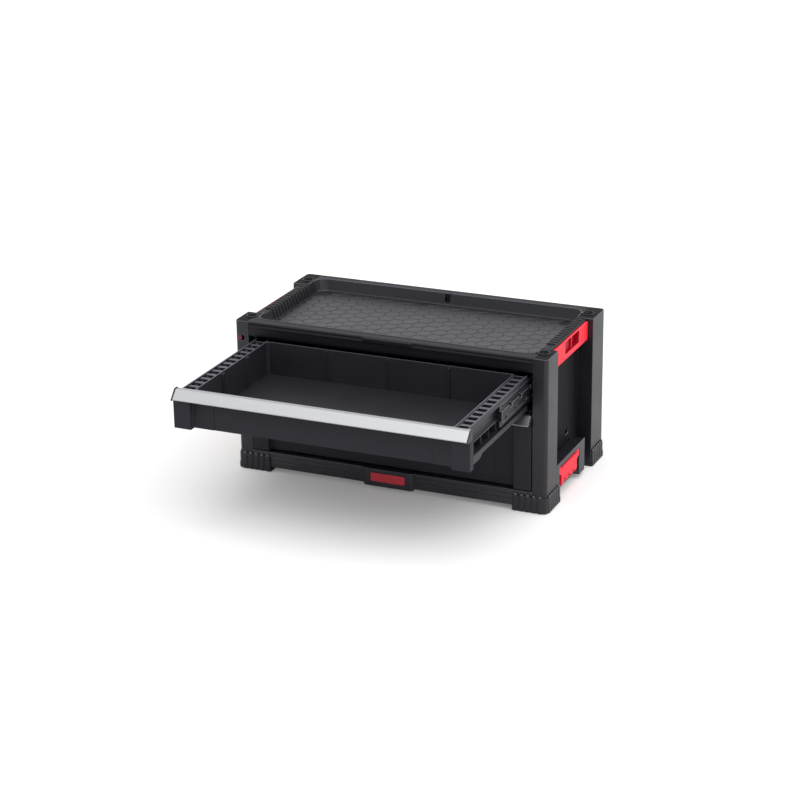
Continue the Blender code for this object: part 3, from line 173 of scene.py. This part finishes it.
for name, energy, spread, direction in (
        ("soft_lamp", lamp_strength, lamp_spread, lamp_direction),
        ("side_fill", fill_strength, fill_spread, fill_direction)):
    lamp_data = bpy.data.lights.new(name, "SUN")
    lamp_data.angle = spread
    lamp_data.energy = energy
    lamp = bpy.data.objects.new(name, lamp_data)
    lamp.matrix_world = direction.to_track_quat("Z", "Y").to_matrix().to_4x4()
    bpy.context.scene.collection.objects.link(lamp)

# Side mouldings: black polypropylene, injection moulded, each with two posts, the web between
# them and the sockets. The mould's eroded steel leaves a matt grain, so the faces have a satin
# sheen. Their rounded corners get a lighter grey, a painted highlight that draws them as thin
# lighter lines.
weld_distance = 0.00001
flat_angle = math.radians(0.5)
corner_angle = math.radians(35)
corner_segments = 2

# A narrow face is this many times as broad as the largest radius that its corners may have. Broad
# faces have nearly all the say in the normals around them, so that they look flat.
corner_room = 2.4
broad_face_weight = 100

# The real grain is a tenth of a millimetre across, and it is drawn coarser so that it shows. The
# cloud is the slow change of tone and gloss where the melt flowed.
grain_size = 0.0012
grain_height = 0.0003
grain_detail = 2.0
grain_share = 0.35
cloud_size = 0.050
cloud_detail = 3.0
noise_span = (0.3, 1.05)
tone_span = (0.86, 1.16)
roughness_span = (-0.05, 0.06)
polypropylene_index = 1.49
cool_sheen = (0.92, 0.94, 1.0, 1.0)


def moulded_resin(name, colour_hex, roughness, grain_depth, specular):
    """Filled polypropylene as moulded: nearly even in colour, with a fine matt grain."""
    material = bpy.data.materials.new(name)
    material.use_nodes = True
    tree = material.node_tree
    shader = tree.nodes["Principled BSDF"]
    shader.inputs["IOR"].default_value = polypropylene_index
    shader.inputs["Specular IOR Level"].default_value = specular
    shader.inputs["Specular Tint"].default_value = cool_sheen
    place = add_node(tree, "TexCoord")
    cloud = add_node(tree, "TexNoise", {"Scale": 1 / cloud_size, "Detail": cloud_detail},
                     {"Vector": place.outputs["Object"]})
    grain = add_node(tree, "TexNoise", {"Scale": 1 / grain_size, "Detail": grain_detail},
                     {"Vector": place.outputs["Object"]})
    mixed = add_node(tree, "Math", {"operation": "MULTIPLY_ADD", 1: grain_share},
                     {0: grain.outputs[0], 2: cloud.outputs[0]})
    tone = add_node(tree, "MapRange", {"From Min": noise_span[0], "From Max": noise_span[1],
                                       "To Min": tone_span[0], "To Max": tone_span[1]},
                    {"Value": mixed.outputs[0]})
    colour = add_node(tree, "VectorMath", {"operation": "SCALE", 0: linear(colour_hex)[:3]},
                      {"Scale": tone.outputs[0]})
    tree.links.new(colour.outputs[0], shader.inputs["Base Color"])
    gloss = add_node(tree, "MapRange", {"From Min": noise_span[0], "From Max": noise_span[1],
                                        "To Min": roughness + roughness_span[0],
                                        "To Max": roughness + roughness_span[1]},
                     {"Value": mixed.outputs[0]})
    tree.links.new(gloss.outputs[0], shader.inputs["Roughness"])
    bump = add_node(tree, "Bump", {"Strength": grain_depth, "Distance": grain_height},
                    {"Height": grain.outputs[0]})
    tree.links.new(bump.outputs["Normal"], shader.inputs["Normal"])
    return material


def breadth(face, edge):
    """How far a face reaches from one of its edges."""
    start = edge.verts[0].co
    along = (edge.verts[1].co - start).normalized()
    return max((vert.co - start).cross(along).length for vert in face.verts)


def rounded(nodes, material, radius, edge_material=None, left_square=None):
    """Puts copies with rounded outer corners, as a mould leaves them, in the nodes' places.

    The corners of a narrow face get a smaller radius, so that they don't run into each other.
    The rounded corners may have a finish of their own, and left_square picks out the edges that
    stay square.
    """
    for name in nodes:
        solid = frame["nodes"][name]
        mesh = bmesh.new()
        mesh.from_mesh(solid.data)
        bmesh.ops.remove_doubles(mesh, verts=mesh.verts, dist=weld_distance)
        bmesh.ops.dissolve_limit(mesh, angle_limit=flat_angle, verts=mesh.verts, edges=mesh.edges)
        for face in mesh.faces:
            face.smooth = True
            face.material_index = 0
        share = mesh.edges.layers.float.new("bevel_weight_edge")
        for edge in mesh.edges:
            turn = edge.calc_face_angle_signed(math.pi)
            edge.smooth = abs(turn) < corner_angle or edge.is_convex
            outer_corner = len(edge.link_faces) == 2 and turn > corner_angle
            if outer_corner and not (left_square and left_square(edge)):
                room = min(breadth(face, edge) for face in edge.link_faces)
                edge[share] = min(1, room / (corner_room * radius))
        bmesh.ops.triangulate(mesh, faces=[face for face in mesh.faces if len(face.verts) > 4])
        finishes = (material, edge_material) if edge_material else (material,)
        piece = made_object(name + "_rounded", mesh, *finishes)
        rounding = piece.modifiers.new("corners", "BEVEL")
        rounding.limit_method = "WEIGHT"
        rounding.material = 1 if edge_material else -1
        rounding.width = radius
        rounding.segments = corner_segments
        rounding.use_clamp_overlap = False
        rounding.loop_slide = False
        evening = piece.modifiers.new("evened", "WEIGHTED_NORMAL")
        evening.keep_sharp = True
        evening.weight = broad_face_weight
        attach(piece, body_of(solid)[0])
        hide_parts(name)


black_resin = moulded_resin("black_polypropylene", "#111115",
                            roughness=0.40, grain_depth=0.35, specular=0.54)
edge_highlight_resin = moulded_resin("edge_highlight_polypropylene", "#3a3a42",
                           roughness=0.34, grain_depth=0.1, specular=0.7)
rounded(["left_side_panel", "right_side_panel"], black_resin, radius=0.0009,
        edge_material=edge_highlight_resin)

# Side webs and post tops: parts of the side mouldings, the sunk panels between the posts and
# the flats around the stacking sockets. Their coarser grain makes them duller, and their darker
# colour is painted shade on the sunk webs and on the post tops.
web_limit = 0.262
top_level = 0.2640
facing = 0.9
shaded_web_resin = moulded_resin("coarse_shaded_polypropylene", "#0c0c10",
                          roughness=0.66, grain_depth=0.5, specular=0.16)


def repaint(nodes, material, chosen):
    """Gives another finish to the faces of rounded copies, chosen by their middle and normal."""
    for name in nodes:
        data = bpy.data.objects[name + "_rounded"].data
        data.materials.append(material)
        for face in data.polygons:
            if chosen(face.center, face.normal):
                face.material_index = len(data.materials) - 1


def dull(middle, normal):
    """Whether a face of a side moulding lies on its web or on top of a post."""
    on_web = abs(middle.x) < web_limit and normal.x * math.copysign(1, middle.x) > facing
    return on_web or (middle.z > top_level and normal.z > facing)


repaint(["left_side_panel", "right_side_panel"], shaded_web_resin, dull)

# Socket collars: two low rings around each stacking socket, moulded with the post in the same
# satin black. The ring between them is sunk and matt, and its near-black colour is painted
# shade that shows it as a dark circle. The profile gives radius and rise above the post's top,
# from the outside to the bore.
socket_places = [(across, back) for across in (-0.2605, 0.2605) for back in (0.02415, 0.24015)]
socket_level = 0.2658
collar_profile = ((0.0100, -0.0002), (0.0100, 0.0006), (0.0096, 0.0010), (0.0087, 0.0010),
                  (0.0083, 0.0006), (0.0080, 0.0001), (0.0062, 0.0001), (0.0060, 0.0005),
                  (0.0054, 0.0005), (0.0051, -0.0002))
collar_steps = 40
sunk_radius = 0.0084

collars = bmesh.new()
for across, back in socket_places:
    line = [collars.verts.new((across + radius, back, socket_level + rise))
            for radius, rise in collar_profile]
    edges = [collars.edges.new(pair) for pair in zip(line, line[1:])]
    bmesh.ops.spin(collars, geom=line + edges, cent=(across, back, socket_level),
                   axis=(0, 0, 1), angle=2 * math.pi, steps=collar_steps, use_merge=True)
bmesh.ops.recalc_face_normals(collars, faces=collars.faces)
for face in collars.faces:
    face.smooth = True
    middle = face.calc_center_median()
    from_bore = min(math.dist(middle.xy, place) for place in socket_places)
    face.material_index = 1 if from_bore < sunk_radius else 0
socket_shade_resin = moulded_resin("socket_shade_polypropylene", "#060608",
                             roughness=0.7, grain_depth=0.3, specular=0.05)
socket_collars = made_object("socket_collars", collars, black_resin, socket_shade_resin)
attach(socket_collars, "cabinet")

# Back panel: a ribbed sheet of the same satin black polypropylene, moulded in one piece and
# screwed to the ledges of the side mouldings. Being thin, it has tighter corners than they do,
# and they carry the same painted edge highlight.
rounded(["back_panel"], black_resin, radius=0.0006, edge_material=edge_highlight_resin)

# Screws of the back panel, the feet and the drawers: cold-headed steel with a thin bright zinc
# plating, so that their heads show as small pale discs on the black. The real lines that drawing
# or brushing leaves are a few hundredths of a millimetre apart, and are drawn coarser to show.
line_length = 0.05
lines_per_metre = 1500
line_detail = 3.0
line_tone_span = (0.9, 1.05)
line_roughness_span = (-0.06, 0.08)


def metal(name, colour_hex, roughness):
    """Plated or anodised metal, with fine lines from drawing or brushing along X."""
    material = bpy.data.materials.new(name)
    material.use_nodes = True
    tree = material.node_tree
    shader = tree.nodes["Principled BSDF"]
    shader.inputs["Metallic"].default_value = 1
    place = add_node(tree, "TexCoord")
    stretched = add_node(tree, "Mapping",
                         {"Scale": (1 / line_length, lines_per_metre, lines_per_metre)},
                         {"Vector": place.outputs["Object"]})
    lines = add_node(tree, "TexNoise", {"Scale": 1.0, "Detail": line_detail},
                     {"Vector": stretched.outputs[0]})
    tone = add_node(tree, "MapRange", {"To Min": line_tone_span[0], "To Max": line_tone_span[1]},
                    {"Value": lines.outputs[0]})
    colour = add_node(tree, "VectorMath", {"operation": "SCALE", 0: linear(colour_hex)[:3]},
                      {"Scale": tone.outputs[0]})
    tree.links.new(colour.outputs[0], shader.inputs["Base Color"])
    gloss = add_node(tree, "MapRange", {"To Min": roughness + line_roughness_span[0],
                                        "To Max": roughness + line_roughness_span[1]},
                     {"Value": lines.outputs[0]})
    tree.links.new(gloss.outputs[0], shader.inputs["Roughness"])
    return material


def dress(nodes, material):
    """Gives CAD nodes a material."""
    for name in nodes:
        data = frame["nodes"][name].data
        data.materials.clear()
        data.materials.append(material)


zinc = metal("zinc_plated_steel", "#b9bbbd", roughness=0.3)
dress([name for name in frame["nodes"] if "_screw" in name], zinc)

# Base: one black polypropylene moulding with the front beam, its raised centre plate and a side
# beam for each latch, which ties the side mouldings together. It has a higher sheen than the
# posts, and its lighter colour is painted light from the bright floor, so its face shows as a
# lighter grey. Its corners carry the painted edge highlight.
lit_base_resin = moulded_resin("lit_base_polypropylene", "#1a1a1f",
                           roughness=0.44, grain_depth=0.3, specular=0.7)
rounded(["base"], lit_base_resin, radius=0.0008, edge_material=edge_highlight_resin)

# Insert: a plain red plate, moulded by itself in polypropylene and pressed into the middle of
# the base. It is nearly smooth, and a duller red than the latches.
insert_resin = moulded_resin("red_insert_polypropylene", "#d22c38",
                             roughness=0.5, grain_depth=0.15, specular=0.8)
rounded(["plate_insert"], insert_resin, radius=0.0005)

# Latches: mouldings in bright red polypropylene, which turn on zinc-plated steel pins between
# the lugs of the base. Their grain is so fine that the red looks clear and even.
red_resin = moulded_resin("red_polypropylene", "#f01530",
                          roughness=0.42, grain_depth=0.15, specular=0.22)
rounded(["left_latch", "right_latch"], red_resin, radius=0.0006)
dress(["left_latch_pin", "right_latch_pin"], zinc)

# Catches: mouldings in the same red high on the sides, held under the rims of the tray. Their
# rounded corners get a lighter, glossier red, a painted highlight which outlines them.
red_edge_highlight = moulded_resin("red_edge_highlight_polypropylene", "#ff5468",
                         roughness=0.36, grain_depth=0.1, specular=0.4)
rounded(["left_catch", "right_catch"], red_resin, radius=0.0005, edge_material=red_edge_highlight)

# Catch pockets: the hollows of the catches, which a latch hooks into. Their faces get a darker
# red, painted shade for pockets that are sunk deeper than the modelled ones.
pocket_span = (0.1015, 0.1706)
pocket_rise = (0.2370, 0.2597)
pocket_mouth = 0.2689
pocket_shade_red = moulded_resin("pocket_shade_red_polypropylene", "#a80a1c",
                         roughness=0.45, grain_depth=0.1, specular=0.2)


def in_pocket(middle, normal):
    """Whether a face of a catch belongs to its pocket."""
    return (abs(middle.x) < pocket_mouth and pocket_span[0] < middle.y < pocket_span[1]
            and pocket_rise[0] < middle.z < pocket_rise[1])


repaint(["left_catch", "right_catch"], pocket_shade_red, in_pocket)

# Top tray: one dark polypropylene moulding that closes the chest, with a basin, ribs on its side
# slopes and a pattern on its floor. The basin faces up and has a satin grain, so it takes on a
# soft grey sheen.
tray_resin = moulded_resin("dark_polypropylene", "#17171b",
                           roughness=0.44, grain_depth=0.3, specular=0.44)
rounded(["top_tray"], tray_resin, radius=0.0008)

# Tray rims: the front beam, the tops of the rims and the side slopes of the same moulding. They
# get a duller, darker copy of the tray's polypropylene, painted shade which sets the basin off.
tray_mouth_front = 0.0135
slope_start = 0.2415
shaded_beam_resin = moulded_resin("shaded_beam_polypropylene", "#101014",
                           roughness=0.5, grain_depth=0.35, specular=0.28)


def outside_basin(middle, normal):
    """Whether a face of the tray belongs to its front beam, a rim's top or a side slope."""
    on_rim = middle.z > top_level and normal.z > facing
    return middle.y < tray_mouth_front or abs(middle.x) > slope_start or on_rim


repaint(["top_tray"], shaded_beam_resin, outside_basin)

# Floor pattern: flat-topped six-sided pads with narrow channels between them, moulded with the
# tray. They get a lighter, glossier copy of the tray's polypropylene, painted light on their
# tops, while the channels stay dark. The slopes give how far in and how far up each step of a
# pad's edge goes.
tray_floor_height = 0.2455
pad_pitch_across = 0.0226
pad_pitch_back = 0.0247
pad_channel = 0.0005
pad_wall = 0.0003
pad_sink = 0.0004
pad_slopes = ((0.0008, 0.0005), (0.0009, 0.00016))
pad_columns_each_way = 11
pad_rows_each_way = 6
pattern_left, pattern_right = -0.2390, 0.2390
pattern_front, pattern_back = 0.0222, 0.2432
pattern_corner_radius = 0.018
pattern_middle_back = 0.1327
smallest_pad = 0.00009

# A six-sided pad that points to the sides has its columns 3/2 of its radius apart, and its rows
# the square root of 3 of it. It is squashed to fit the real pitch from front to back.
pads = bmesh.new()
pad_radius = pad_pitch_across * 2 / 3
pad_squash = pad_pitch_back / (math.sqrt(3) * pad_radius)
pad_shape = Matrix.Diagonal((1, pad_squash, 1, 1)) @ Matrix.Rotation(math.pi / 2, 4, "Z")
for column in range(-pad_columns_each_way, pad_columns_each_way + 1):
    for row in range(-pad_rows_each_way, pad_rows_each_way + 1):
        rows_back = row + (column % 2) / 2
        middle = Vector((column * pad_pitch_across,
                         pattern_middle_back + rows_back * pad_pitch_back, tray_floor_height))
        bmesh.ops.create_circle(pads, cap_ends=True, segments=6, radius=pad_radius - pad_channel,
                                matrix=Matrix.Translation(middle) @ pad_shape)
for point, outward in (((pattern_left, 0, 0), (-1, 0, 0)), ((pattern_right, 0, 0), (1, 0, 0)),
                       ((0, pattern_front, 0), (0, -1, 0)), ((0, pattern_back, 0), (0, 1, 0))):
    bmesh.ops.bisect_plane(pads, geom=pads.verts[:] + pads.edges[:] + pads.faces[:],
                           plane_co=point, plane_no=outward, clear_outer=True)
corner_across = pattern_right - pattern_corner_radius
corner_rows = (pattern_front + pattern_corner_radius, pattern_back - pattern_corner_radius)


def past_corner(point):
    """Whether a point of the tray's floor lies outside the floor's rounded corners."""
    across = abs(point.x) - corner_across
    back = max(corner_rows[0] - point.y, point.y - corner_rows[1])
    return across > 0 and back > 0 and math.hypot(across, back) > pattern_corner_radius


slivers = [face for face in pads.faces
           if face.calc_area() < smallest_pad or any(past_corner(vert.co) for vert in face.verts)]
bmesh.ops.delete(pads, geom=slivers, context="FACES")
bmesh.ops.translate(pads, verts=pads.verts, vec=(0, 0, -pad_sink))
raised = bmesh.ops.extrude_face_region(pads, geom=pads.faces[:], use_keep_orig=True)["geom"]
bmesh.ops.translate(pads, verts=[part for part in raised if isinstance(part, bmesh.types.BMVert)],
                    vec=(0, 0, pad_sink + pad_wall))
tops = [part for part in raised if isinstance(part, bmesh.types.BMFace)]
bmesh.ops.recalc_face_normals(pads, faces=pads.faces)
for inward, rise in pad_slopes:
    bmesh.ops.inset_individual(pads, faces=tops, thickness=inward, depth=rise,
                               use_even_offset=True)
lit_pad_resin = moulded_resin("lit_pad_polypropylene", "#1c1c21",
                          roughness=0.42, grain_depth=0.3, specular=0.72)
tray_floor_pads = made_object("tray_floor_pads", pads, lit_pad_resin)
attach(tray_floor_pads, "cabinet")

# Bead: a fine rounded lip, moulded with the tray, that runs round both ends of the basin's mouth.
# It takes the lighter edge material, a painted highlight that draws the mouth as a thin light
# line.
bead_radius = 0.0011
bead_height = 0.2650
bead_across = 0.2490
bead_front = 0.0131
bead_back = 0.2557
bead_front_end = 0.0440
bead_back_end = 0.2190
bead_corner_radius = 0.0200
bead_sides = 8
bead_steps = 10

bead = bmesh.new()


def run_on(ring, move):
    """Draws the bead's open end on in a straight line, and gives its new end."""
    grown = bmesh.ops.extrude_edge_only(bead, edges=ring)["geom"]
    moved = [part for part in grown if isinstance(part, bmesh.types.BMVert)]
    bmesh.ops.translate(bead, verts=moved, vec=move)
    return [part for part in grown if isinstance(part, bmesh.types.BMEdge)]


def turn_on(ring, centre, axis):
    """Draws the bead's open end on through a quarter turn, and gives its new end."""
    spun = bmesh.ops.spin(bead, geom=ring, cent=centre, axis=axis, angle=-math.pi / 2,
                          steps=bead_steps)
    return [part for part in spun["geom_last"] if isinstance(part, bmesh.types.BMEdge)]


for line, end, outward in ((bead_front, bead_front_end, -1), (bead_back, bead_back_end, 1)):
    start = bmesh.ops.create_circle(bead, segments=bead_sides, radius=bead_radius, cap_ends=True,
                                    matrix=Matrix.Translation((-bead_across, end, bead_height))
                                    @ Matrix.Rotation(math.pi / 2, 4, "X"))
    ring = list(dict.fromkeys(edge for vert in start["verts"] for edge in vert.link_edges))
    turn_line = line - outward * bead_corner_radius
    turn_across = bead_across - bead_corner_radius
    axis = (0, 0, outward)
    ring = run_on(ring, (0, turn_line - end, 0))
    ring = turn_on(ring, (-turn_across, turn_line, bead_height), axis)
    ring = run_on(ring, (2 * turn_across, 0, 0))
    ring = turn_on(ring, (turn_across, turn_line, bead_height), axis)
    ring = run_on(ring, (0, end - turn_line, 0))
    bmesh.ops.contextual_create(bead, geom=ring)
bmesh.ops.remove_doubles(bead, verts=bead.verts, dist=weld_distance)
bmesh.ops.recalc_face_normals(bead, faces=bead.faces)
for face in bead.faces:
    face.smooth = True
basin_bead = made_object("basin_bead", bead, edge_highlight_resin)
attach(basin_bead, "cabinet")

# Feet: four mouldings in the posts' satin black polypropylene, which wrap the corners with
# upright ribs, and are screwed up into the posts. Their ribs are too narrow for bright edges.
side_names = ("left", "right")
foot_corners = [end + "_" + side for end in ("front", "back") for side in side_names]
rounded([corner + "_foot" for corner in foot_corners], black_resin, radius=0.0006)

# Rib crowns: each rib of a foot ends in a small rounded knob, moulded with it, which stands above
# the foot's edge. The knobs are glossy, and their lighter grey is a painted highlight, so each
# one shows a small glint. The crowns of a front or back face lie along X, and those of a side
# face along Y.
crown_reach = Vector((0.0030, 0.00145, 0.0034))
crown_height = 0.0280
crown_turns = 16
front_crowns = (0.2248, 0.2354, 0.2460, 0.2567, 0.2673)
front_crown_lines = (-0.00835, 0.27665)
side_crowns = (0.0031, 0.0122, 0.0213, 0.0304, 0.0395, 0.0486,
               0.2197, 0.2288, 0.2379, 0.2470, 0.2561, 0.2652)
side_crown_line = 0.2795

crown_places = [(side * across, back, 0) for side in (-1, 1) for across in front_crowns
                for back in front_crown_lines]
crown_places += [(side * side_crown_line, back, math.pi / 2) for side in (-1, 1)
                 for back in side_crowns]
crowns = bmesh.new()
for across, back, turned_by in crown_places:
    knob = (Matrix.Translation((across, back, crown_height))
            @ Matrix.Rotation(turned_by, 4, "Z") @ Matrix.Diagonal((*crown_reach, 1)))
    bmesh.ops.create_uvsphere(crowns, u_segments=crown_turns, v_segments=crown_turns // 2,
                              radius=1, matrix=knob)
for face in crowns.faces:
    face.smooth = True
glint_knob_resin = moulded_resin("glossy_glint_knob_polypropylene", "#34343a",
                           roughness=0.24, grain_depth=0.05, specular=1.0)
foot_rib_crowns = made_object("foot_rib_crowns", crowns, glint_knob_resin)
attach(foot_rib_crowns, "cabinet")

# Slides: mouldings in plain black polypropylene. The rails sit on the side webs, and the
# carriages run between the rails and the drawers. Their rounded edges get a light grey, a
# painted highlight which picks out the windows and notches.
levels = ("upper", "lower")
slide_resin = moulded_resin("slide_polypropylene", "#0f0f13",
                            roughness=0.42, grain_depth=0.2, specular=0.4)
slide_edge_highlight_resin = moulded_resin("slide_edge_highlight_polypropylene", "#74747c",
                           roughness=0.34, grain_depth=0.1, specular=0.8)
for part in ("rail", "carriage"):
    rounded([level + "_" + side + "_" + part for level in levels for side in side_names],
            slide_resin, radius=0.0005, edge_material=slide_edge_highlight_resin)

# Drawer bins: black polypropylene trays, moulded in one piece with ladder rims and the channels
# that run on the carriages. Their walls are matt and dark, and the upward faces of the rims get a
# lighter grey, painted light from above.
rim_depth = 0.0040
bin_resin = moulded_resin("bin_polypropylene", "#1b1b20",
                          roughness=0.5, grain_depth=0.35, specular=0.5)
lit_rim_resin = moulded_resin("lit_rim_polypropylene", "#50505a",
                          roughness=0.42, grain_depth=0.2, specular=0.5)


def upright(edge):
    """Whether an edge stands straight up."""
    return (edge.verts[0].co - edge.verts[1].co).xy.length < weld_distance


rounded([level + "_drawer_bin" for level in levels], bin_resin, radius=0.0005, left_square=upright)
for level in levels:
    bin_top = max(corner[2] for corner in frame["nodes"][level + "_drawer_bin"].bound_box)
    repaint([level + "_drawer_bin"], lit_rim_resin,
            lambda middle, normal: normal.z > facing and middle.z > bin_top - rim_depth)

# Drawer fronts: black polypropylene mouldings, screwed to the bins from inside. Their matt grain
# has hardly any sheen, and their charcoal is lighter than the posts' black, painted light that
# keeps the fronts in the drawer's shade from going black.
lit_front_resin = moulded_resin("lit_front_polypropylene", "#25252b",
                            roughness=0.55, grain_depth=0.35, specular=0.2)
rounded([level + "_drawer_front" for level in levels], lit_front_resin, radius=0.0008)

# Drawer trims: a strip of aluminium, folded over the top of the front, brushed along its length
# and anodised, which gives a pale silver with soft, slowly fading reflections. A moulded cap in
# the posts' satin black closes each end.
aluminium = metal("anodised_aluminium", "#b4b5b8", roughness=0.38)
rounded([level + "_drawer_trim" for level in levels], aluminium, radius=0.0003)
rounded([level + "_" + side + "_trim_cap" for level in levels for side in side_names],
        black_resin, radius=0.0004)

# Lock slider: a small moulding in dark red polypropylene, which slides sideways in its slot in
# the left front post. It is nearly smooth, and its dull, purplish red is darkened further with
# painted shade from the slot.
slot_shaded_lock_resin = moulded_resin("slot_shaded_red_polypropylene", "#6e2840",
                           roughness=0.5, grain_depth=0.15, specular=0.4)
rounded(["lock_slider"], slot_shaded_lock_resin, radius=0.0004)
